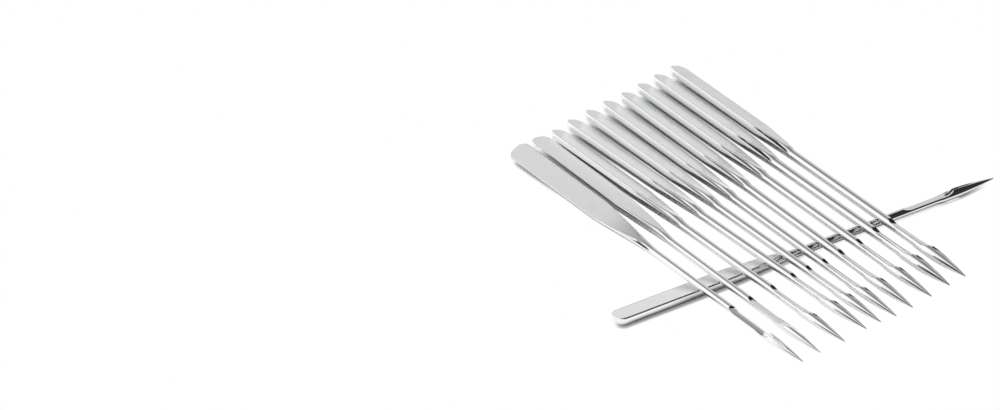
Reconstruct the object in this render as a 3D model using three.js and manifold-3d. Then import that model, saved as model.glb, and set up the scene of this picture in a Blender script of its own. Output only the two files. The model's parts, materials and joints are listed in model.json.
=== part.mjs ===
// Ten household sewing machine needles lying side by side, with their blades across an eleventh needle.
// Millimetres, +Z up. The row points along +X, from the butts to the points, and is counted along +Y.
// Each needle is one piece of steel: a round shank with a flat, a shoulder, a slim blade, a scarf ground
// away on the flat's side, an eye, a long groove on the other side, and a slender point. The shanks are
// alike, the blades are of four sizes.

import * as THREE from 'three';
import { mergeVertices } from 'three/addons/utils/BufferGeometryUtils.js';
import Module from 'manifold-3d';

const wasm = await Module();
wasm.setup();

// Shank: the end that a machine's needle clamp holds
const SHANK_DIAMETER = 2.02;
const SHANK_LENGTH = 12.3;
const FLAT_THICKNESS = 1.09;
const BUTT_DOME_LENGTH = 0.9;
const BUTT_END_DIAMETER = 0.6;

// Shoulder and blade. A thinner blade has a longer shoulder, by this stretch for each millimetre. The
// blade's axis lies lower than the shank's, away from the flat
const THICKEST_BLADE = 0.9;
const SHOULDER_LENGTH = 4.5;
const SHOULDER_STRETCH = 10.8;
const BLADE_DROP = 0.45;
const BUTT_TO_POINT = 36.15;

// Grooves, scarf, eye and swelling are cut in shares of the blade's diameter
const LONG_GROOVE_WIDTH_SHARE = 0.42;
const LONG_GROOVE_DEPTH_SHARE = 0.35;
const LONG_GROOVE_RUNOUT = 2.0;
const SHORT_GROOVE_WIDTH_SHARE = 0.28;
const SHORT_GROOVE_DEPTH_SHARE = 0.19;
const SHORT_GROOVE_LENGTH = 1.7;

// Scarf: the hollow above the eye that lets a hook pass close to the thread
const SCARF_DEPTH_SHARE = 0.375;
const SCARF_LENGTH = 4.2;
const SCARF_RUN_IN = 1.2;
const SCARF_RUN_OUT = 1.2;
const SCARF_TO_EYE = 0.55;

// Eye and point
const EYE_LENGTH_SHARE = 2.0;
const EYE_WIDTH_SHARE = 0.45;
const EYE_SWELL_SHARE = 1.22;
const EYE_SWELL_RUN_IN = 1.2;
const POINT_LENGTH = 3.85;
const POINT_FULLNESS = 0.78;
const TIP_DIAMETER = 0.12;

// Lay of the set: the first needle crosses the one below at these distances from the two butts. The one
// below is turned by this angle from the row, and its flat leans this far towards the row's butts, in degrees
const CROSSING_ALONG_ROW = 25.15;
const CROSSING_ALONG_CROSS_NEEDLE = 7.85;
const CROSS_BLADE = 0.75;
const CROSS_ANGLE = 83.05;
const CROSS_LEAN = 15.5;
const SIDE_GAP = 0.03;
const SEAT_GAP = 0.08;

// How each needle of the row lies: its blade's diameter, the spare gap to the needle before it, how far it
// is pushed forward, how far it is turned to the left, and how far its flat leans towards the first needle's
// side. The turn and the lean are in degrees
const ROW_LAY = [
  { blade: 0.65, gap: 0, forward: -0.15, turn: -0.55, lean: 23 },
  { blade: 0.65, gap: 0.38, forward: -0.2, turn: -0.95, lean: -11 },
  { blade: 0.75, gap: 0, forward: 0, turn: 0, lean: -25.8 },
  { blade: 0.75, gap: 0, forward: -0.35, turn: 1, lean: -25.8 },
  { blade: 0.75, gap: 0, forward: -0.45, turn: 0.35, lean: -25.8 },
  { blade: 0.75, gap: 0, forward: -0.55, turn: 0, lean: -25.8 },
  { blade: 0.8, gap: 0, forward: -0.55, turn: -0.35, lean: -25.8 },
  { blade: 0.8, gap: 0, forward: -0.7, turn: 0.05, lean: -25.8 },
  { blade: 0.9, gap: 0, forward: -0.85, turn: 0.3, lean: -25.8 },
  { blade: 0.9, gap: 0, forward: -0.95, turn: 0.05, lean: -25.8 },
];

// Reach of a quarter round's two curve handles, as a share of its radius
const QUARTER_ROUND = 0.5523;

// Fineness of the round surfaces
const SIDES = 20;
const CURVE_STEPS = 5;

const SHANK_RADIUS = SHANK_DIAMETER / 2;
const TIP_RADIUS = TIP_DIAMETER / 2;
const FLAT_HEIGHT = FLAT_THICKNESS - SHANK_RADIUS;
const NEEDLE_LENGTH = BUTT_TO_POINT + POINT_LENGTH;

const STEEL = { color: 0xd6d7d9, roughness: 0.18, metalness: 1 };

// A needle's blade, its radii, the stations of its features along the axis from the butt, and its outline
function needleOfSize(blade) {
  const eyeStart = BUTT_TO_POINT - blade * EYE_LENGTH_SHARE;
  const needle = {
    blade,
    bladeRadius: blade / 2,
    swellRadius: (blade / 2) * EYE_SWELL_SHARE,
    bladeStart: SHANK_LENGTH + SHOULDER_LENGTH + SHOULDER_STRETCH * (THICKEST_BLADE - blade),
    scarfStart: eyeStart - SCARF_TO_EYE - SCARF_LENGTH,
    scarfEnd: eyeStart - SCARF_TO_EYE,
    eyeStart,
    eyeMiddle: (eyeStart + BUTT_TO_POINT) / 2,
  };
  needle.profile = needleProfile(needle);
  return needle;
}

// Half outline of the needle before anything is cut, as radius against station
function needleProfile({ bladeRadius, swellRadius, bladeStart, eyeStart }) {
  const swellStart = eyeStart - EYE_SWELL_RUN_IN;
  const swellHalf = EYE_SWELL_RUN_IN / 2;
  const buttRadius = BUTT_END_DIAMETER / 2;
  const path = new THREE.Path();
  path.moveTo(0, 0);
  path.lineTo(buttRadius, 0);
  path.bezierCurveTo(
    THREE.MathUtils.lerp(buttRadius, SHANK_RADIUS, QUARTER_ROUND), 0,
    SHANK_RADIUS, BUTT_DOME_LENGTH * (1 - QUARTER_ROUND),
    SHANK_RADIUS, BUTT_DOME_LENGTH,
  );
  path.lineTo(SHANK_RADIUS, SHANK_LENGTH);
  path.lineTo(bladeRadius, bladeStart);
  path.lineTo(bladeRadius, swellStart);
  path.bezierCurveTo(
    bladeRadius, swellStart + swellHalf,
    swellRadius, eyeStart - swellHalf,
    swellRadius, eyeStart,
  );
  path.lineTo(swellRadius, BUTT_TO_POINT);
  path.quadraticCurveTo(
    swellRadius * POINT_FULLNESS, BUTT_TO_POINT + POINT_LENGTH / 2,
    TIP_RADIUS, NEEDLE_LENGTH - TIP_RADIUS,
  );
  path.lineTo(0, NEEDLE_LENGTH);
  return path.getPoints(CURVE_STEPS);
}

// Radius of the uncut needle at a station
function radiusAt({ profile }, station) {
  const next = profile.findIndex((point, index) => index > 1 && point.y >= station);
  const before = profile[next - 1];
  const after = profile[next];
  const share = (station - before.y) / (after.y - before.y);
  return THREE.MathUtils.lerp(before.x, after.x, share);
}

// How far the needle's middle lies below the shank's axis at a station
function dropAt({ bladeStart }, station) {
  const share = (station - SHANK_LENGTH) / (bladeStart - SHANK_LENGTH);
  return BLADE_DROP * THREE.MathUtils.clamp(share, 0, 1);
}

// Height of a leaning needle's top above the shank's axis: an edge of its flat, or its round side past that
function topAt(needle, station, lean) {
  const radius = radiusAt(needle, station);
  const drop = dropAt(needle, station);
  const flatEdge = Math.acos(Math.min(1, (FLAT_HEIGHT + drop) / radius));
  return radius * Math.cos(Math.max(0, flatEdge - Math.abs(lean))) - drop * Math.cos(lean);
}

function toSolid(geometry) {
  const bare = geometry.clone();
  bare.deleteAttribute('normal');
  bare.deleteAttribute('uv');
  const merged = mergeVertices(bare);
  const vertProperties = new Float32Array(merged.attributes.position.array);
  const triVerts = new Uint32Array(merged.index.array);
  return new wasm.Manifold(new wasm.Mesh({ numProp: 3, vertProperties, triVerts }));
}

function toGeometry(solid) {
  const mesh = solid.getMesh();
  const geometry = new THREE.BufferGeometry();
  geometry.setAttribute('position', new THREE.BufferAttribute(mesh.vertProperties, 3));
  geometry.setIndex(new THREE.BufferAttribute(mesh.triVerts, 1));
  geometry.computeVertexNormals();
  return geometry;
}

// A side outline, drawn as height against station, cut straight across the needle
function acrossNeedle(outline, width) {
  const geometry = new THREE.ExtrudeGeometry(outline, {
    depth: width, bevelEnabled: false, curveSegments: CURVE_STEPS,
  });
  geometry.translate(0, 0, -width / 2);
  geometry.rotateX(Math.PI / 2);
  return geometry;
}

// The flat runs from the butt out along the shoulder, to where that falls below it
function flatCutter({ bladeStart }) {
  const outline = new THREE.Shape();
  outline.moveTo(-BUTT_DOME_LENGTH, FLAT_HEIGHT);
  outline.lineTo(bladeStart, FLAT_HEIGHT);
  outline.lineTo(bladeStart, SHANK_DIAMETER);
  outline.lineTo(-BUTT_DOME_LENGTH, SHANK_DIAMETER);
  return acrossNeedle(outline, 2 * SHANK_DIAMETER);
}

// The long groove starts shallow on the shoulder and carries the thread down to the eye
function longGrooveCutter({ blade, bladeRadius, swellRadius, bladeStart, eyeMiddle }) {
  const floor = blade * LONG_GROOVE_DEPTH_SHARE - bladeRadius;
  const outline = new THREE.Shape();
  outline.moveTo(bladeStart - LONG_GROOVE_RUNOUT, -SHANK_RADIUS);
  outline.quadraticCurveTo(
    bladeStart - LONG_GROOVE_RUNOUT / 2, floor,
    bladeStart + LONG_GROOVE_RUNOUT, floor,
  );
  outline.lineTo(eyeMiddle, floor);
  outline.lineTo(BUTT_TO_POINT, -swellRadius);
  outline.lineTo(BUTT_TO_POINT, -SHANK_RADIUS);
  return acrossNeedle(outline, blade * LONG_GROOVE_WIDTH_SHARE);
}

// The scarf dips steeply behind its front edge, runs level and rises gently to the eye
function scarfCutter({ blade, bladeRadius, swellRadius, scarfStart, scarfEnd }) {
  const floor = bladeRadius - blade * SCARF_DEPTH_SHARE;
  const outline = new THREE.Shape();
  outline.moveTo(scarfStart, bladeRadius);
  outline.quadraticCurveTo(scarfStart + SCARF_RUN_IN / 2, floor, scarfStart + SCARF_RUN_IN, floor);
  outline.lineTo(scarfEnd - SCARF_RUN_OUT, floor);
  outline.quadraticCurveTo(scarfEnd - SCARF_RUN_OUT / 2, floor, scarfEnd, swellRadius);
  outline.lineTo(scarfEnd, SHANK_RADIUS);
  outline.lineTo(scarfStart, SHANK_RADIUS);
  return acrossNeedle(outline, SHANK_DIAMETER);
}

// A slot with round ends, right through from the scarf's side to the long groove
function eyeCutter({ blade, eyeStart }) {
  const round = (blade * EYE_WIDTH_SHARE) / 2;
  const outline = new THREE.Shape();
  outline.absarc(BUTT_TO_POINT - round, 0, round, -Math.PI / 2, Math.PI / 2);
  outline.absarc(eyeStart + round, 0, round, Math.PI / 2, 1.5 * Math.PI);
  const geometry = new THREE.ExtrudeGeometry(outline, {
    depth: SHANK_DIAMETER, bevelEnabled: false, curveSegments: CURVE_STEPS,
  });
  geometry.translate(0, 0, -SHANK_RADIUS);
  return geometry;
}

// The short groove leads the thread out of the eye towards the point, on the scarf's side
function shortGrooveCutter({ blade, swellRadius, eyeMiddle }) {
  const floor = swellRadius - blade * SHORT_GROOVE_DEPTH_SHARE;
  const end = BUTT_TO_POINT + SHORT_GROOVE_LENGTH;
  const outline = new THREE.Shape();
  outline.moveTo(eyeMiddle, floor);
  outline.lineTo(end, floor);
  outline.lineTo(end, SHANK_RADIUS);
  outline.lineTo(eyeMiddle, SHANK_RADIUS);
  return acrossNeedle(outline, blade * SHORT_GROOVE_WIDTH_SHARE);
}

// The turned needle, with the shoulder led down to the lower axis of the blade
function turnedNeedle(needle) {
  const turned = new THREE.LatheGeometry(needle.profile, SIDES);
  turned.rotateZ(-Math.PI / 2);
  const points = turned.attributes.position;
  for (let index = 0; index < points.count; index += 1) {
    points.setZ(index, points.getZ(index) - dropAt(needle, points.getX(index)));
  }
  return turned;
}

function needleGeometry(needle) {
  const bladeCutters = [longGrooveCutter, scarfCutter, eyeCutter, shortGrooveCutter].map((cutter) =>
    cutter(needle).translate(0, 0, -BLADE_DROP));
  const cutters = [flatCutter(needle), ...bladeCutters];
  const turned = toSolid(turnedNeedle(needle));
  return toGeometry(cutters.reduce((body, cutter) => body.subtract(toSolid(cutter)), turned));
}

// A needle placed by its butt, turned in plan, tipped nose up, and rolled on its own axis, in radians
function layNeedle(name, geometry, butt, turn, noseUp, roll) {
  const mesh = new THREE.Mesh(geometry, new THREE.MeshStandardMaterial(STEEL));
  mesh.name = name;
  mesh.position.copy(butt);
  mesh.rotation.set(roll, -noseUp, turn, 'ZYX');
  return mesh;
}

function planDirection(angle) {
  return new THREE.Vector2(Math.cos(angle), Math.sin(angle));
}

// The needle below rests on the front end of its shank and on the swelling around its eye
function crossNeedleLay(needle) {
  const first = ROW_LAY[0];
  const angle = THREE.MathUtils.degToRad(CROSS_ANGLE);
  const lean = THREE.MathUtils.degToRad(CROSS_LEAN);
  const firstDirection = planDirection(THREE.MathUtils.degToRad(first.turn));
  const fall = SHANK_RADIUS - needle.swellRadius - BLADE_DROP * Math.cos(lean);
  const dip = Math.asin(fall / (needle.eyeMiddle - SHANK_LENGTH));
  const plan = new THREE.Vector2(first.forward, 0)
    .addScaledVector(firstDirection, CROSSING_ALONG_ROW)
    .addScaledVector(planDirection(angle), -CROSSING_ALONG_CROSS_NEEDLE);
  const height = SHANK_RADIUS + SHANK_LENGTH * Math.sin(dip);
  return { needle, butt: new THREE.Vector3(plan.x, plan.y, height), angle, dip, lean };
}

// Distances from the two butts to the place where two needles cross, seen from above
function crossing(butt, turn, cross) {
  const own = planDirection(turn);
  const other = planDirection(cross.angle);
  const apart = new THREE.Vector2(cross.butt.x - butt.x, cross.butt.y - butt.y);
  const sine = own.cross(other);
  return { along: apart.cross(other) / sine, alongCross: apart.cross(own) / sine };
}

// Each needle of the row rests on the lower edge of its butt and, further on, on the needle below
function layRow(set, cross) {
  let side = 0;
  let lastTurn = 0;
  ROW_LAY.forEach(({ blade, gap, forward, turn: turnDegrees, lean: leanDegrees }, index) => {
    const needle = needleOfSize(blade);
    const turn = THREE.MathUtils.degToRad(turnDegrees);
    const lean = THREE.MathUtils.degToRad(leanDegrees);
    if (index > 0) {
      const closing = Math.max(0, Math.sin(lastTurn - turn)) * SHANK_LENGTH;
      side += SHANK_DIAMETER + SIDE_GAP + gap + closing;
    }
    const butt = new THREE.Vector3(forward, side, 0);
    const { along, alongCross } = crossing(butt, turn, cross);
    const crossAxis = cross.butt.z - alongCross * Math.sin(cross.dip);
    const seat = crossAxis + topAt(cross.needle, alongCross, cross.lean) + SEAT_GAP;
    const axisThere = seat + radiusAt(needle, along) + dropAt(needle, along) * Math.cos(lean);
    const noseUp = Math.asin((axisThere - SHANK_RADIUS) / (along - BUTT_DOME_LENGTH));
    butt.z = SHANK_RADIUS - BUTT_DOME_LENGTH * Math.sin(noseUp);
    const name = `needle_${String(index + 1).padStart(2, '0')}`;
    set.add(layNeedle(name, needleGeometry(needle), butt, turn, noseUp, lean));
    lastTurn = turn;
  });
}

function needleSet() {
  const crossNeedle = needleOfSize(CROSS_BLADE);
  const cross = crossNeedleLay(crossNeedle);
  const set = new THREE.Group();
  const geometry = needleGeometry(crossNeedle);
  set.add(layNeedle('cross_needle', geometry, cross.butt, cross.angle, -cross.dip, -cross.lean));
  layRow(set, cross);

  // The origin is the middle of the set's box, on the surface that it lies on
  const box = new THREE.Box3().setFromObject(set, true);
  const middle = box.getCenter(new THREE.Vector3());
  set.position.set(-middle.x, -middle.y, -box.min.z);
  const whole = new THREE.Group();
  whole.add(set);
  return whole;
}

export default needleSet();
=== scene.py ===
"""Household sewing machine needles laid side by side across another needle, in a bright studio.

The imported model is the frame: every fine needle is laid where its plain solid lies and rides on its body.
"""

import json
import math

import bpy
from bpy.props import FloatProperty, FloatVectorProperty, PointerProperty
from bpy.types import Operator, Panel, PropertyGroup
from mathutils import Matrix, Vector
from mathutils.geometry import interpolate_bezier

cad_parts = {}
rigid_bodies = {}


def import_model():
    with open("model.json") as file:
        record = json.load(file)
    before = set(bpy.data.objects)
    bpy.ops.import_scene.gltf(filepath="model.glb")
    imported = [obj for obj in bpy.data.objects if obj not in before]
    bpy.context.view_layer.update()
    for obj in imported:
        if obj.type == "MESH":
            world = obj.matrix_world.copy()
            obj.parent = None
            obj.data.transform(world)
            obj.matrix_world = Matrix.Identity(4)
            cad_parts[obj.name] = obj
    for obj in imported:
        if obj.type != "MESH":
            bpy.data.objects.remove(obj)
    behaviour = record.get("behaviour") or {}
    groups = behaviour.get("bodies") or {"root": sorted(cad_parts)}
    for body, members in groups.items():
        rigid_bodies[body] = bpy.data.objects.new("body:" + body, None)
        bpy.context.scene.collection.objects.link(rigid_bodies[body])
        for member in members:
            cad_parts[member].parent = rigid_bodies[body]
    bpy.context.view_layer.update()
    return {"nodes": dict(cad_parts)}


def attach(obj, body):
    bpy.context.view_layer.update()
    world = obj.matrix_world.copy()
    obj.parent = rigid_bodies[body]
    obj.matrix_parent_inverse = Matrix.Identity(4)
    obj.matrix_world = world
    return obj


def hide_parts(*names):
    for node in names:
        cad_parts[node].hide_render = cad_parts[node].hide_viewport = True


bl_info = {
    "name": "Sewing Machine Needles",
    "version": (1, 0, 0),
    "blender": (4, 5, 0),
    "location": "3D View > Sidebar > Needles",
    "description": "Models a set of household sewing machine needles and the studio around them",
    "category": "Add Mesh",
}

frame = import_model()

CROSS_NODE = "cross_needle"
ROW_NODES = sorted(node for node in frame["nodes"] if node != CROSS_NODE)

# The pattern needles are modelled in millimetres and scaled to metres when they are laid
MM = 0.001
PATTERN = "needle_pattern"
PLACE = "needle_place"
STEEL = "polished_needle_steel"
WHITE = (1.0, 1.0, 1.0, 1.0)
SEEN_RAYS = ("Is Camera Ray", "Is Glossy Ray", "Is Transmission Ray")

# Fineness of the pattern needles
SIDES = 96
BUTT_STEPS = 10
CORNER_STEPS = 7
SWELL_STEPS = 10
POINT_STEPS = 20
SCOOP_STEPS_LONG = 40
SCOOP_STEPS_WIDE = 10
EYE_SIDES = 40
EDGE_STEPS = 6
FLOOR_SIDES = 64
SHARP_ANGLE = math.radians(30)
SMOOTH_ANGLE = math.radians(20)
JOIN_DISTANCE = 0.003
CUT_TOLERANCE = JOIN_DISTANCE / 10

# How alike two normals must be to lie on one flat, and the digits to which two places are the same
SAME_WAY = 0.99999
PLACE_DIGITS = 7

# The flat's finish begins and is full at these depths below the flat, in millimetres
FLAT_FADE = (0.02, 0.005)

# Marks on the steel: scale of each pattern, the part of its range that shows, and its weight
STREAK_SCALE = (0.25, 14.0, 14.0)
STREAK_ROUGHNESS = 0.05
SCRATCH_STRENGTH = 0.06
SCRATCH_DEPTH = 0.00001
SMUDGE_SCALE = 420.0
SMUDGE_RANGE = (0.52, 0.75)
SMUDGE_ROUGHNESS = 0.06
SPECK_SCALE = 2600.0
SPECK_RANGE = (0.74, 0.8)
MARK_SHARE = 0.5

# Painted floor shade: white glow that stays in the floor's darkest painted shadow, the openness over which
# the glow clears, and the floor's sheen
SHADOW_WHITE = 0.25
SHADOW_RANGE = (0.3, 0.9)
MIRRORED_RANGE = (0.4, 1.0)
SHEEN_RANGE = (0.6, 0.9)
SHEEN_ROUGHNESS = 0.1
FLOOR_ROUGHNESS = 0.9

# Studio: direction round the room from +X, and the angles from it where a part begins and is full (degrees)
WALL = (178, 67, 57)
BACK = (125, 55, 30)
OPENING = ((-0.324, 0.187, 0.927), 36, 26)
ROOM_LIGHT = 0.03
WALL_LIGHT = 1.02
OPENING_SHADE = 0.65
BACK_SHADE = 0.4
LAMP_PLACE = (-0.8, 0.3, 0.75)
LAMP_WIDTH = 1.2

# Picture frame that the camera is set for, in pixels, and a full-frame sensor's width
PICTURE_WIDTH = 1000
SENSOR_WIDTH = 36.0


def size_property(name, description, millimetres):
    """A length that the panel shows in the scene's unit."""
    return FloatProperty(
        name=name, description=description, default=millimetres * MM, min=0.0, unit="LENGTH", precision=6
    )


def share_property(name, share):
    """A size that is given as a share of the blade's diameter."""
    description = "Share of the blade's diameter"
    return FloatProperty(name=name, description=description, default=share, min=0.0, subtype="FACTOR")


class NeedleShape(PropertyGroup):
    """Sizes of the needles. The shanks are alike, the blades are of several sizes."""

    row_blades: FloatVectorProperty(
        name="Row blades", description="Blade diameters of the row, from the first needle to the last",
        size=10, min=0.0, unit="LENGTH", precision=6,
        default=[blade * MM for blade in (0.65, 0.65, 0.75, 0.75, 0.75, 0.75, 0.8, 0.8, 0.9, 0.9)],
    )
    cross_blade: size_property("Cross needle's blade", "Blade diameter of the needle below the row", 0.75)
    shank_diameter: size_property("Shank diameter", "Round of the end that the clamp holds", 2.02)
    shank_length: size_property("Shank length", "From the butt to the shoulder", 12.3)
    flat_thickness: size_property("Flat thickness", "From the shank's flat to its round back", 1.09)
    butt_dome_length: size_property("Butt dome", "Length of the rounding at the butt", 0.9)
    butt_end_diameter: size_property("Butt end", "Width of the butt's small end face", 0.58)
    thickest_blade: size_property("Thickest blade", "Blade that has the shortest shoulder", 0.9)
    shoulder_length: size_property("Shoulder length", "Taper from the shank to the thickest blade", 4.5)
    shoulder_stretch: FloatProperty(
        name="Shoulder stretch", description="Longer shoulder for each unit that a blade is thinner",
        default=10.8, min=0.0,
    )
    blade_drop: size_property("Blade drop", "How far the blade's axis lies below the shank's", 0.45)
    butt_to_point: size_property("Butt to point", "From the butt to the end of the eye", 36.15)
    groove_width_share: share_property("Long groove width", 0.42)
    groove_depth_share: share_property("Long groove depth", 0.35)
    groove_runout: size_property("Long groove run-out", "Length over which it fades into the shoulder", 2.0)
    scarf_depth_share: share_property("Scarf depth", 0.3)
    scarf_hollow_share: share_property("Scarf hollow", 0.06)
    scarf_length: size_property("Scarf length", "Hollow that runs up to the eye and over its start", 5.4)
    scarf_run_in: size_property("Scarf run-in", "Length of its slope on the shank's side", 0.9)
    scarf_run_out: size_property("Scarf run-out", "Length of its slope on the eye's side", 0.9)
    scarf_over_eye: size_property("Scarf over the eye", "How far it runs past the eye's start", 0.9)
    eye_length_share: share_property("Eye length", 2.0)
    eye_width_share: share_property("Eye width", 0.45)
    swell_share: share_property("Eye swell", 1.22)
    swell_run_in: size_property("Swell run-in", "Length over which the blade swells", 1.2)
    short_groove_length: size_property("Short groove length", "Groove from the eye towards the point", 1.7)
    short_groove_width_share: share_property("Short groove width", 0.28)
    short_groove_depth_share: share_property("Short groove depth", 0.19)
    point_length: size_property("Point length", "From the eye to the tip", 3.85)
    point_fullness: FloatProperty(
        name="Point fullness", description="How full the point's outline is", default=0.78, min=0.0, max=1.0
    )
    tip_diameter: size_property("Tip diameter", "Width of the blunted tip", 0.1)
    shoulder_rounding: size_property("Shoulder rounding", "Reach of the rounding at the shoulder's ends", 0.5)
    edge_rounding: size_property("Edge rounding", "Rounding of the flat's ground edges", 0.1)


class NeedleFinish(PropertyGroup):
    """Look of the plated steel."""

    steel: FloatVectorProperty(
        name="Steel", description="Colour of the polished plating", subtype="COLOR",
        default=(0.93, 0.935, 0.94), min=0.0, max=1.0,
    )
    smudge: FloatVectorProperty(
        name="Smudge", description="Colour of the handling marks", subtype="COLOR",
        default=(0.8, 0.8, 0.79), min=0.0, max=1.0,
    )
    polish: FloatProperty(
        name="Polish", description="Roughness of the round sides", subtype="FACTOR",
        default=0.06, min=0.0, max=1.0,
    )
    ground: FloatProperty(
        name="Ground flat", description="Roughness of the ground flat", subtype="FACTOR",
        default=0.3, min=0.0, max=1.0,
    )
    satin: FloatProperty(
        name="Satin share", description="How much of the ground flat looks matt instead of mirroring",
        subtype="FACTOR", default=0.5, min=0.0, max=1.0,
    )


class StudioSet(PropertyGroup):
    """Floor, light and camera."""

    floor: FloatVectorProperty(
        name="Floor", description="Colour of the white floor", subtype="COLOR",
        default=(0.96, 0.96, 0.96), min=0.0, max=1.0,
    )
    floor_radius: FloatProperty(
        name="Floor radius", description="Reach of the round floor", default=0.085, min=0.01, unit="LENGTH"
    )
    # Painted shadow: how near a needle the floor's white glow is taken away for the camera
    shadow_reach: FloatProperty(
        name="Shadow reach", description="How near a needle must be for its shadow to show on the floor",
        default=0.0004, min=0.0, unit="LENGTH", precision=6,
    )
    # Painted shade in reflections: how near a needle the floor's glow is taken away where the steel mirrors
    # it
    mirrored_shade_reach: FloatProperty(
        name="Mirrored shadow reach", description="The same for the floor as the steel mirrors it",
        default=0.004, min=0.0, unit="LENGTH", precision=6,
    )
    lamp_power: FloatProperty(
        name="Soft lamp", description="Power of the soft lamp at the back left",
        default=12.0, min=0.0, unit="POWER",
    )
    azimuth: FloatProperty(
        name="Azimuth", description="Direction of the camera round the set", subtype="ANGLE",
        default=math.radians(52.284),
    )
    elevation: FloatProperty(
        name="Elevation", description="Height of the camera above the floor", subtype="ANGLE",
        default=math.radians(38.171),
    )
    distance: FloatProperty(
        name="Distance", description="From the camera to the set", default=0.42, min=0.05, unit="LENGTH"
    )
    pixels_per_metre: FloatProperty(
        name="Pixels per metre", description="Scale of the picture at the set's middle",
        default=11235.0, min=1.0,
    )
    aim_right: FloatProperty(
        name="Aim right", description="How far the set lies right of the picture's middle",
        default=0.022769, unit="LENGTH", precision=6,
    )
    aim_up: FloatProperty(
        name="Aim up", description="How far the set lies above the picture's middle",
        default=-0.000808, unit="LENGTH", precision=6,
    )


class NeedleSizes:
    """One needle's sizes in millimetres, and the stations along its axis from the butt."""

    def __init__(self, shape, blade):
        for name, prop in shape.bl_rna.properties.items():
            if prop.type == "FLOAT" and not prop.is_array:
                unit = MM if prop.unit == "LENGTH" else 1.0
                setattr(self, name, getattr(shape, name) / unit)
        self.blade = blade / MM
        self.shank_radius = self.shank_diameter / 2
        self.blade_radius = self.blade / 2
        self.swell_radius = self.blade_radius * self.swell_share
        self.tip_radius = self.tip_diameter / 2
        self.flat_height = self.flat_thickness - self.shank_radius
        self.edge_start = self.butt_dome_length / 3
        self.shoulder = self.shoulder_length + self.shoulder_stretch * (self.thickest_blade - self.blade)
        self.blade_start = self.shank_length + self.shoulder
        self.eye_end = self.butt_to_point
        self.eye_start = self.eye_end - self.blade * self.eye_length_share
        self.length = self.eye_end + self.point_length
        self.scarf_end = self.eye_start + self.scarf_over_eye
        self.scarf_start = self.scarf_end - self.scarf_length

    def drop_at(self, station):
        """How far the needle's middle lies below the shank's axis."""
        share = (station - self.shank_length) / self.shoulder
        return self.blade_drop * min(1.0, max(0.0, share))


def blade_name(blade):
    """The pattern needle's name for one blade size, in hundredths of a millimetre."""
    return f"{PATTERN}_{round(blade / MM * 100)}"


def rounded_corner(before, corner, after, reach):
    """Stations and radii of a corner that is rounded over a reach to both sides."""
    before, corner, after = (Vector((*point, 0)) for point in (before, corner, after))
    start = corner + (before - corner).normalized() * reach
    end = corner + (after - corner).normalized() * reach
    points = interpolate_bezier(start, start.lerp(corner, 2 / 3), end.lerp(corner, 2 / 3), end, CORNER_STEPS)
    return [(point.x, point.y) for point in points]


def butt_outline(sizes):
    """Stations and radii of the domed butt, a quarter round from its small end face to the shank."""
    end_radius = sizes.butt_end_diameter / 2
    rise = sizes.shank_radius - end_radius
    points = []
    for step in range(BUTT_STEPS + 1):
        angle = math.pi / 2 * step / BUTT_STEPS
        station = sizes.butt_dome_length * (1 - math.cos(angle))
        points.append((station, end_radius + rise * math.sin(angle)))
    return points


def swell_outline(sizes):
    """Stations and radii of the smooth step from the blade to the swelling around the eye."""
    start = sizes.eye_start - sizes.swell_run_in
    middle = (start + sizes.eye_start) / 2
    bends = ((start, sizes.blade_radius), (middle, sizes.blade_radius),
             (middle, sizes.swell_radius), (sizes.eye_start, sizes.swell_radius))
    points = interpolate_bezier(*(Vector((*bend, 0)) for bend in bends), SWELL_STEPS)
    return [(point.x, point.y) for point in points]


def point_outline(sizes):
    """Stations and radii from the eye to the tip."""
    start = Vector((sizes.eye_end, sizes.swell_radius, 0))
    bend = Vector((sizes.eye_end + sizes.point_length / 2, sizes.swell_radius * sizes.point_fullness, 0))
    tip = Vector((sizes.length - sizes.tip_radius, sizes.tip_radius, 0))
    points = interpolate_bezier(start, start.lerp(bend, 2 / 3), tip.lerp(bend, 2 / 3), tip, POINT_STEPS)
    return [(point.x, point.y) for point in points]


def needle_outline(sizes):
    """Stations and radii of the needle before anything is cut."""
    butt = butt_outline(sizes)
    shank = (sizes.shank_length, sizes.shank_radius)
    blade = (sizes.blade_start, sizes.blade_radius)
    swell = swell_outline(sizes)
    return [
        *butt,
        *rounded_corner(butt[-1], shank, blade, sizes.shoulder_rounding),
        *rounded_corner(shank, blade, swell[0], sizes.shoulder_rounding),
        *swell,
        *point_outline(sizes),
    ]


def pick_only(obj):
    """Selects one object and makes it active."""
    bpy.ops.object.select_all(action="DESELECT")
    obj.select_set(True)
    bpy.context.view_layer.objects.active = obj


def turn_body(sizes):
    """The turned needle: a disc extruded and resized from the butt to the tip, with the blade led lower."""
    outline = needle_outline(sizes)
    bpy.ops.object.select_all(action="DESELECT")
    bpy.ops.mesh.primitive_circle_add(
        vertices=SIDES, radius=outline[0][1], fill_type="NGON", rotation=(0, math.pi / 2, 0)
    )
    body = bpy.context.object
    bpy.ops.object.transform_apply(location=True, rotation=True, scale=True)
    bpy.ops.object.mode_set(mode="EDIT")
    bpy.ops.mesh.select_all(action="SELECT")
    for (last_station, last_radius), (station, radius) in zip(outline, outline[1:]):
        drop = sizes.drop_at(station)
        step = (station - last_station, 0, sizes.drop_at(last_station) - drop)
        bpy.ops.mesh.extrude_region_move(TRANSFORM_OT_translate={"value": step})
        scale = radius / last_radius
        bpy.ops.transform.resize(value=(1, scale, scale), center_override=(station, 0, -drop))
    bpy.ops.mesh.extrude_region_move(TRANSFORM_OT_translate={"value": (sizes.tip_radius, 0, 0)})
    bpy.ops.mesh.merge(type="CENTER")
    bpy.ops.mesh.select_all(action="SELECT")
    bpy.ops.mesh.normals_make_consistent(inside=False)
    bpy.ops.object.mode_set(mode="OBJECT")
    return body


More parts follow.
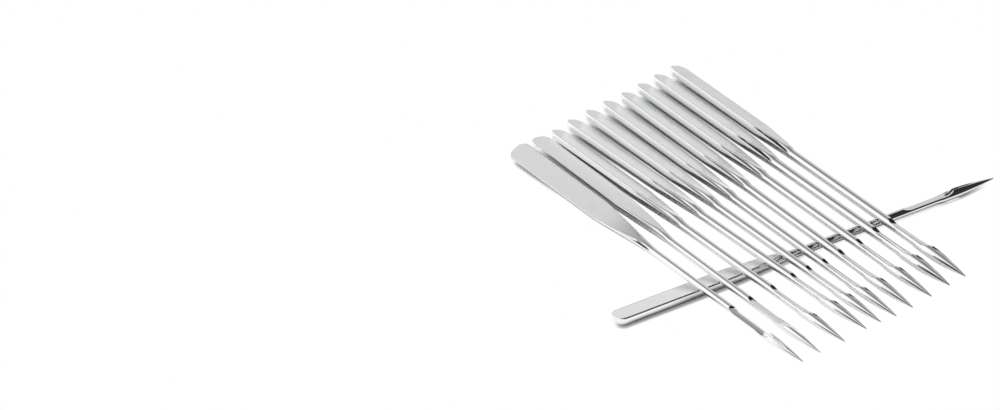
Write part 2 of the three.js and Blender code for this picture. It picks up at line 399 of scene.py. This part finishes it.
def grind_flat(body, sizes):
    """Cuts the shank's flat, which runs out along the shoulder, and breaks its edges up to the dome."""
    pick_only(body)
    bpy.ops.object.mode_set(mode="EDIT")
    bpy.ops.mesh.select_all(action="SELECT")
    bpy.ops.mesh.bisect(
        plane_co=(0, 0, sizes.flat_height), plane_no=(0, 0, 1), use_fill=True, clear_outer=True,
        threshold=CUT_TOLERANCE,
    )
    bpy.ops.mesh.select_all(action="SELECT")
    bpy.ops.mesh.remove_doubles(threshold=JOIN_DISTANCE)
    bpy.ops.mesh.select_all(action="DESELECT")
    bpy.ops.mesh.select_mode(type="EDGE")
    bpy.ops.mesh.edges_select_sharp(sharpness=SHARP_ANGLE)
    bpy.ops.object.mode_set(mode="OBJECT")
    for edge in body.data.edges:
        near, far = sorted(body.data.vertices[index].co.x for index in edge.vertices)
        edge.select = edge.select and near > sizes.edge_start and far < sizes.blade_start
    bpy.ops.object.mode_set(mode="EDIT")
    bpy.ops.mesh.bevel(offset=sizes.edge_rounding, segments=EDGE_STEPS, affect="EDGES", clamp_overlap=False)
    bpy.ops.object.mode_set(mode="OBJECT")


def scoop(name, sizes, span, half_width, floor, reach):
    """A cutter over a stretch of the blade, whose cutting side follows floor(station, side)."""
    start, end = span
    bpy.ops.object.select_all(action="DESELECT")
    bpy.ops.mesh.primitive_grid_add(
        x_subdivisions=SCOOP_STEPS_LONG, y_subdivisions=SCOOP_STEPS_WIDE, size=1,
        location=((start + end) / 2, 0, -sizes.blade_drop),
    )
    cutter = bpy.context.object
    cutter.name = name
    cutter.scale = (end - start, 2 * half_width, 1)
    bpy.ops.object.transform_apply(location=True, rotation=True, scale=True)
    for vertex in cutter.data.vertices:
        vertex.co.z += floor(vertex.co.x, vertex.co.y)
    bpy.ops.object.mode_set(mode="EDIT")
    bpy.ops.mesh.select_all(action="SELECT")
    bpy.ops.mesh.extrude_region_move(TRANSFORM_OT_translate={"value": (0, 0, reach)})
    bpy.ops.mesh.select_all(action="SELECT")
    bpy.ops.mesh.normals_make_consistent(inside=False)
    bpy.ops.object.mode_set(mode="OBJECT")
    return cutter


def scarf_cutter(sizes):
    """Dips behind its front edge, runs level and rises over the eye, a little hollow along its middle."""
    level = sizes.blade_radius - sizes.blade * sizes.scarf_depth_share
    hollow = sizes.blade * sizes.scarf_hollow_share

    def floor(station, side):
        into = max(0.0, 1 - (station - sizes.scarf_start) / sizes.scarf_run_in)
        out = max(0.0, 1 - (sizes.scarf_end - station) / sizes.scarf_run_out)
        edge = hollow * ((side / sizes.blade_radius) ** 2 - 1)
        rise_in = (sizes.blade_radius - level) * into**2
        rise_out = (sizes.swell_radius - level) * out**2
        return level + rise_in + rise_out + edge

    span = (sizes.scarf_start, sizes.scarf_end)
    return scoop("scarf_cutter", sizes, span, sizes.blade, floor, sizes.shank_diameter)


def long_groove_cutter(sizes):
    """A round-bottomed groove under the blade, from the shoulder to the eye."""
    depth = sizes.blade * sizes.groove_depth_share
    level = depth - sizes.blade_radius
    start = sizes.blade_start - sizes.groove_runout
    half_width = sizes.blade * sizes.groove_width_share / 2
    eye_length = sizes.eye_end - sizes.eye_start

    def floor(station, side):
        into = max(0.0, 1 - (station - start) / (2 * sizes.groove_runout))
        out = max(0.0, 1 - 2 * (sizes.eye_end - station) / eye_length)
        fall = (sizes.shank_radius + level) * into**2 + (sizes.swell_radius + level) * out
        return level - fall - depth / 2 * (side / half_width) ** 2

    span = (start, sizes.eye_end)
    return scoop("long_groove_cutter", sizes, span, half_width, floor, -sizes.shank_diameter)


def short_groove_cutter(sizes):
    """A shallow groove on the scarf's side, from the eye towards the point."""
    half_width = sizes.blade * sizes.short_groove_width_share / 2
    depth = sizes.blade * sizes.short_groove_depth_share
    start = (sizes.eye_start + sizes.eye_end) / 2
    end = sizes.eye_end + sizes.short_groove_length
    level = sizes.swell_radius - depth

    def floor(station, side):
        return level + depth / 2 * (side / half_width) ** 2

    return scoop("short_groove_cutter", sizes, (start, end), half_width, floor, sizes.shank_diameter)


def eye_cutter(sizes):
    """A slot with round ends, right through the needle."""
    radius = sizes.blade * sizes.eye_width_share / 2
    bpy.ops.object.select_all(action="DESELECT")
    bpy.ops.mesh.primitive_cylinder_add(
        vertices=EYE_SIDES, radius=radius, depth=sizes.shank_diameter,
        location=(sizes.eye_start + radius, 0, -sizes.blade_drop),
    )
    cutter = bpy.context.object
    cutter.name = "eye_cutter"
    bpy.ops.object.transform_apply(location=True, rotation=True, scale=True)
    for vertex in cutter.data.vertices:
        if vertex.co.x > sizes.eye_start + radius + JOIN_DISTANCE:
            vertex.co.x += sizes.eye_end - sizes.eye_start - 2 * radius
    return cutter


def cut(body, cutter):
    """Cuts one shape out of the needle and throws the cutter away."""
    pick_only(body)
    modifier = body.modifiers.new("cut", "BOOLEAN")
    modifier.operation = "DIFFERENCE"
    modifier.solver = "EXACT"
    modifier.object = cutter
    bpy.ops.object.modifier_apply(modifier=modifier.name)
    bpy.data.objects.remove(cutter)


def finish_pattern(body):
    """Smooths the shading and keeps each point's place on the needle for the finish."""
    pick_only(body)
    bpy.ops.object.shade_smooth_by_angle(angle=SMOOTH_ANGLE)
    modifier = body.modifiers.new("even_normals", "WEIGHTED_NORMAL")
    modifier.mode = "FACE_AREA"
    modifier.weight = 100
    modifier.keep_sharp = True
    bpy.ops.object.modifier_apply(modifier=modifier.name)
    mesh = body.data
    place = mesh.attributes.new(PLACE, "FLOAT_VECTOR", "POINT")
    for vertex, entry in zip(mesh.vertices, place.data):
        entry.vector = vertex.co


def model_pattern(shape, blade):
    """Models one fine needle of a blade size."""
    sizes = NeedleSizes(shape, blade)
    body = turn_body(sizes)
    body.name = blade_name(blade)
    grind_flat(body, sizes)
    cut(body, scarf_cutter(sizes))
    cut(body, long_groove_cutter(sizes))
    cut(body, short_groove_cutter(sizes))
    cut(body, eye_cutter(sizes))
    finish_pattern(body)


def solid_place(node, sizes):
    """The matrix that lays a needle modelled along +X, flat up and butt at the origin, on a plain solid."""
    mesh = frame["nodes"][node].data
    points = [vertex.co for vertex in mesh.vertices]
    up = max(mesh.polygons, key=lambda face: face.area).normal.normalized()
    on_flat = {index for face in mesh.polygons if face.normal.dot(up) > SAME_WAY for index in face.vertices}
    places = {tuple(round(value, PLACE_DIGITS) for value in points[index]) for index in on_flat}
    flat_middle = sum((Vector(place) for place in places), Vector()) / len(places)
    tip = max(points, key=lambda point: (point - flat_middle).length)
    along = tip - flat_middle
    along = (along - up * along.dot(up)).normalized()
    across = up.cross(along)
    turn = Matrix((along, across, up)).transposed().to_4x4()
    return Matrix.Translation(tip - along * sizes.length * MM + up * sizes.blade_drop * MM) @ turn


class Wire:
    """One output of a shader, with arithmetic that adds Math nodes."""

    def __init__(self, board, socket):
        self.board = board
        self.socket = socket

    def math(self, operation, *values):
        return self.board.node("ShaderNodeMath", {"operation": operation}, dict(enumerate(values)))

    def __add__(self, other):
        return self.math("ADD", self, other)

    def __radd__(self, other):
        return self.math("ADD", other, self)

    def __sub__(self, other):
        return self.math("SUBTRACT", self, other)

    def __rsub__(self, other):
        return self.math("SUBTRACT", other, self)

    def __mul__(self, other):
        return self.math("MULTIPLY", self, other)

    def __rmul__(self, other):
        return self.math("MULTIPLY", other, self)

    def step(self, low, high):
        """Rises smoothly from 0 to 1 between two values, or falls where low is the greater."""
        if low < high:
            ends = (low, high, 0.0, 1.0)
        else:
            ends = (high, low, 1.0, 0.0)
        values = {0: self, 1: ends[0], 2: ends[1], 3: ends[2], 4: ends[3]}
        return self.board.node("ShaderNodeMapRange", {"interpolation_type": "SMOOTHSTEP"}, values)


class Board:
    """A node tree that is wired up from nothing."""

    def __init__(self, tree):
        self.tree = tree
        tree.nodes.clear()

    def node(self, kind, settings=None, values=None, output=0):
        """Adds a node, sets it up, fills or links its sockets and returns one of its outputs."""
        node = self.tree.nodes.new(kind)
        for name, setting in (settings or {}).items():
            setattr(node, name, setting)
        for key, value in (values or {}).items():
            if isinstance(value, Wire):
                self.tree.links.new(value.socket, node.inputs[key])
            else:
                node.inputs[key].default_value = value
        return Wire(self, node.outputs[output]) if node.outputs else node

    def mix(self, factor, first, second):
        """A colour between two colours."""
        return self.node(
            "ShaderNodeMix", {"data_type": "RGBA"}, {0: factor, 6: first, 7: second}, output=2
        )


def opaque(colour):
    """A colour with the full alpha that its socket asks for."""
    return (*colour, 1.0)


def steel_material(finish, sizes):
    """Polished plated steel: bright round sides, a finely ground flat, faint handling marks and specks."""
    material = bpy.data.materials.new(STEEL)
    material.use_nodes = True
    board = Board(material.node_tree)
    place = board.node("ShaderNodeAttribute", {"attribute_name": PLACE}, output=1)
    station = board.node("ShaderNodeSeparateXYZ", values={0: place})
    height = Wire(board, station.socket.node.outputs[2])
    spot = board.node("ShaderNodeTexCoord", output=3)

    on_shank = station.step(sizes.blade_start, sizes.shank_length)
    flat = height.step(*(sizes.flat_height - depth for depth in FLAT_FADE)) * on_shank

    drawn = board.node("ShaderNodeVectorMath", {"operation": "MULTIPLY"}, {0: place, 1: STREAK_SCALE})
    streaks = board.node("ShaderNodeTexNoise", values={"Vector": drawn, "Scale": 1.0, "Detail": 3.0})
    blur = board.node("ShaderNodeTexNoise", values={"Vector": spot, "Scale": SMUDGE_SCALE, "Detail": 4.0})
    smudges = blur.step(*SMUDGE_RANGE) * flat
    dust = board.node("ShaderNodeTexNoise", values={"Vector": spot, "Scale": SPECK_SCALE, "Detail": 1.0})
    specks = dust.step(*SPECK_RANGE) * flat

    marks = smudges * MARK_SHARE + specks * MARK_SHARE
    colour = board.mix(marks, opaque(finish.steel), opaque(finish.smudge))
    rough = finish.polish + (finish.ground - finish.polish) * flat
    rough = rough + (streaks - 0.5) * STREAK_ROUGHNESS + smudges * SMUDGE_ROUGHNESS
    scratch = board.node(
        "ShaderNodeBump",
        values={"Strength": SCRATCH_STRENGTH, "Distance": SCRATCH_DEPTH, "Height": streaks},
    )
    metal = 1 - finish.satin * flat
    shader = board.node(
        "ShaderNodeBsdfPrincipled",
        values={"Base Color": colour, "Roughness": rough, "Metallic": metal, "Normal": scratch},
    )
    board.node("ShaderNodeOutputMaterial", values={"Surface": shader})


def lay_fine_needle(node, blade):
    """Copies the pattern needle of a blade size onto one plain solid, which it then stands for."""
    pick_only(bpy.data.objects[blade_name(blade)])
    bpy.ops.object.duplicate(linked=False)
    piece = bpy.context.object
    piece.name = f"fine_{node}"
    piece.data.name = piece.name
    sizes = NeedleSizes(bpy.context.scene.needle_shape, blade)
    piece.matrix_world = solid_place(node, sizes) @ Matrix.Scale(MM, 4)
    bpy.ops.object.transform_apply(location=True, rotation=True, scale=True)
    piece.data.materials.clear()
    piece.data.materials.append(bpy.data.materials[STEEL])
    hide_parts(node)
    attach(piece, node)


class NEEDLES_OT_patterns(Operator):
    """Model one fine needle of each blade size as the pattern for the rest"""

    bl_idname = "needles.patterns"
    bl_label = "Model the pattern needles"

    def execute(self, context):
        shape = context.scene.needle_shape
        blades = {blade_name(blade): blade for blade in (*shape.row_blades, shape.cross_blade)}
        for blade in blades.values():
            model_pattern(shape, blade)
        steel_material(context.scene.needle_finish, NeedleSizes(shape, shape.cross_blade))
        return {"FINISHED"}


class NEEDLES_OT_cross_needle(Operator):
    """Lay the fine needle that carries the row's blades"""

    bl_idname = "needles.cross_needle"
    bl_label = "Lay the cross needle"

    def execute(self, context):
        lay_fine_needle(CROSS_NODE, context.scene.needle_shape.cross_blade)
        return {"FINISHED"}


class NEEDLES_OT_row(Operator):
    """Lay the row of fine needles side by side and put the patterns away"""

    bl_idname = "needles.row"
    bl_label = "Lay the row"

    def execute(self, context):
        for node, blade in zip(ROW_NODES, context.scene.needle_shape.row_blades):
            lay_fine_needle(node, blade)
        for pattern in [obj for obj in bpy.data.objects if obj.name.startswith(PATTERN)]:
            bpy.data.objects.remove(pattern)
        return {"FINISHED"}


def seen_rays(board):
    """One wire each for rays from the camera, and for those mirrored or let through by a surface."""
    path = board.node("ShaderNodeLightPath")
    return [Wire(board, path.socket.node.outputs[name]) for name in SEEN_RAYS]


def white_floor(studio):
    """A plain matt floor that glows evenly white and keeps the needles' shadow close to them: partly the
    lamp's real shadow, partly painted, as ambient occlusion takes the glow away near the needles, and the
    steel mirrors a painted shade that reaches further.
    """
    bpy.ops.object.select_all(action="DESELECT")
    bpy.ops.mesh.primitive_circle_add(vertices=FLOOR_SIDES, radius=studio.floor_radius, fill_type="NGON")
    floor = bpy.context.object
    floor.name = "studio_floor"
    material = bpy.data.materials.new("matt_white_floor")
    material.use_nodes = True
    board = Board(material.node_tree)
    matt = board.node(
        "ShaderNodeBsdfPrincipled",
        values={"Base Color": opaque(studio.floor), "Roughness": FLOOR_ROUGHNESS, "Specular IOR Level": 0.0},
    )
    glow = board.node("ShaderNodeEmission", values={"Color": WHITE, "Strength": 1.0})
    # Painted contact shadow: ambient occlusion takes the white glow away close to the needles, down to
    # SHADOW_WHITE, so the lamp's real shadow on the matt floor shows only there.
    clear = board.node("ShaderNodeAmbientOcclusion", values={"Distance": studio.shadow_reach}, output=1)
    # Painted shade in reflections: a wider ambient occlusion takes the glow away where the steel mirrors the
    # floor, so the floor looks darker near the needles only in the steel.
    mirrored_shade_openness = board.node("ShaderNodeAmbientOcclusion", values={"Distance": studio.mirrored_shade_reach}, output=1)
    camera, *mirrored_rays = seen_rays(board)
    mirrored = sum(mirrored_rays[1:], mirrored_rays[0])
    direct = SHADOW_WHITE + (1 - SHADOW_WHITE) * clear.step(*SHADOW_RANGE)
    even = camera * direct + mirrored * mirrored_shade_openness.step(*MIRRORED_RANGE)
    white = board.node("ShaderNodeMixShader", values={0: even, 1: matt, 2: glow})
    sheen = board.node("ShaderNodeBsdfGlossy", values={"Color": WHITE, "Roughness": SHEEN_ROUGHNESS})
    facing = board.node("ShaderNodeLayerWeight", values={"Blend": 0.5}, output=1)
    glancing = facing.step(*SHEEN_RANGE) * mirrored
    shader = board.node("ShaderNodeMixShader", values={0: glancing, 1: white, 2: sheen})
    board.node("ShaderNodeOutputMaterial", values={"Surface": shader})
    floor.data.materials.append(material)


def studio_world(scene):
    """A white wall on the left, greyer at the back and above, in a dark room. The camera sees only white."""
    world = bpy.data.worlds.new("bright_studio")
    scene.world = world
    world.use_nodes = True
    board = Board(world.node_tree)
    way = board.node("ShaderNodeTexCoord", output=0)
    camera = seen_rays(board)[0]
    level = board.node("ShaderNodeVectorMath", {"operation": "MULTIPLY"}, {0: way, 1: (1, 1, 0)})
    level = board.node("ShaderNodeVectorMath", {"operation": "NORMALIZE"}, {0: level})

    def within(source, direction, outer, inner):
        """Rises from 0 to 1 between two angles from a direction, in degrees."""
        ways = {0: source, 1: Vector(direction).normalized()}
        facing = board.node("ShaderNodeVectorMath", {"operation": "DOT_PRODUCT"}, ways, output=1)
        return facing.step(math.cos(math.radians(outer)), math.cos(math.radians(inner)))

    def round_the_room(degrees, outer, inner):
        """The same for a direction round the room, at any height."""
        angle = math.radians(degrees)
        return within(level, (math.cos(angle), math.sin(angle), 0), outer, inner)

    opening = within(way, *OPENING)
    wall = round_the_room(*WALL)
    back = round_the_room(*BACK)
    light = (1 - OPENING_SHADE * opening) * (ROOM_LIGHT + WALL_LIGHT * wall) * (1 - BACK_SHADE * back)
    seen = light + camera * (1 - light)
    shade = board.node("ShaderNodeBackground", values={"Color": WHITE, "Strength": seen})
    board.node("ShaderNodeOutputWorld", values={"Surface": shade})


def soft_lamp(studio):
    """A wide soft lamp at the back left, which isn't mirrored in the steel."""
    bpy.ops.object.light_add(type="AREA", location=LAMP_PLACE)
    lamp = bpy.context.object
    lamp.name = "soft_lamp"
    lamp.data.shape = "DISK"
    lamp.data.size = LAMP_WIDTH
    lamp.data.energy = studio.lamp_power
    lamp.visible_glossy = False
    lamp.rotation_mode = "QUATERNION"
    lamp.rotation_quaternion = (-lamp.location).to_track_quat("-Z", "Y")


def picture_camera(scene, studio):
    """A long lens that looks down on the set as the photograph does."""
    azimuth, elevation = studio.azimuth, studio.elevation
    back = Vector(
        (
            math.sin(azimuth) * math.cos(elevation),
            -math.cos(azimuth) * math.cos(elevation),
            math.sin(elevation),
        )
    )
    right = Vector((math.cos(azimuth), math.sin(azimuth), 0))
    up = back.cross(right)
    data = bpy.data.cameras.new("picture_camera")
    camera = bpy.data.objects.new("picture_camera", data)
    scene.collection.objects.link(camera)
    data.sensor_width = SENSOR_WIDTH
    data.lens = studio.pixels_per_metre * studio.distance * SENSOR_WIDTH / PICTURE_WIDTH
    data.clip_start = studio.distance / 10
    camera.location = back * studio.distance - right * studio.aim_right - up * studio.aim_up
    camera.rotation_mode = "QUATERNION"
    camera.rotation_quaternion = (-back).to_track_quat("-Z", "Y")
    scene.camera = camera


class NEEDLES_OT_stage(Operator):
    """Set up the floor, the light and the camera"""

    bl_idname = "needles.stage"
    bl_label = "Set the stage"

    def execute(self, context):
        scene = context.scene
        studio = scene.needle_studio
        white_floor(studio)
        studio_world(scene)
        soft_lamp(studio)
        picture_camera(scene, studio)
        scene.view_settings.view_transform = "Standard"
        return {"FINISHED"}


class NEEDLES_PT_panel(Panel):
    """Sizes, finish and steps of the needle set"""

    bl_idname = "NEEDLES_PT_panel"
    bl_label = "Sewing Machine Needles"
    bl_space_type = "VIEW_3D"
    bl_region_type = "UI"
    bl_category = "Needles"

    def draw(self, context):
        scene = context.scene
        for group in (scene.needle_shape, scene.needle_finish, scene.needle_studio):
            box = self.layout.box()
            for name in group.__annotations__:
                box.prop(group, name)
        for operator in OPERATORS:
            self.layout.operator(operator.bl_idname)


OPERATORS = (NEEDLES_OT_patterns, NEEDLES_OT_cross_needle, NEEDLES_OT_row, NEEDLES_OT_stage)
CLASSES = (NeedleShape, NeedleFinish, StudioSet, *OPERATORS, NEEDLES_PT_panel)


def register():
    for cls in CLASSES:
        bpy.utils.register_class(cls)
    bpy.types.Scene.needle_shape = PointerProperty(type=NeedleShape)
    bpy.types.Scene.needle_finish = PointerProperty(type=NeedleFinish)
    bpy.types.Scene.needle_studio = PointerProperty(type=StudioSet)


def unregister():
    del bpy.types.Scene.needle_studio
    del bpy.types.Scene.needle_finish
    del bpy.types.Scene.needle_shape
    for cls in reversed(CLASSES):
        bpy.utils.unregister_class(cls)


def main():
    register()
    bpy.ops.needles.patterns()
    bpy.ops.needles.cross_needle()
    bpy.ops.needles.row()
    bpy.ops.needles.stage()


if __name__ == "__main__":
    main()
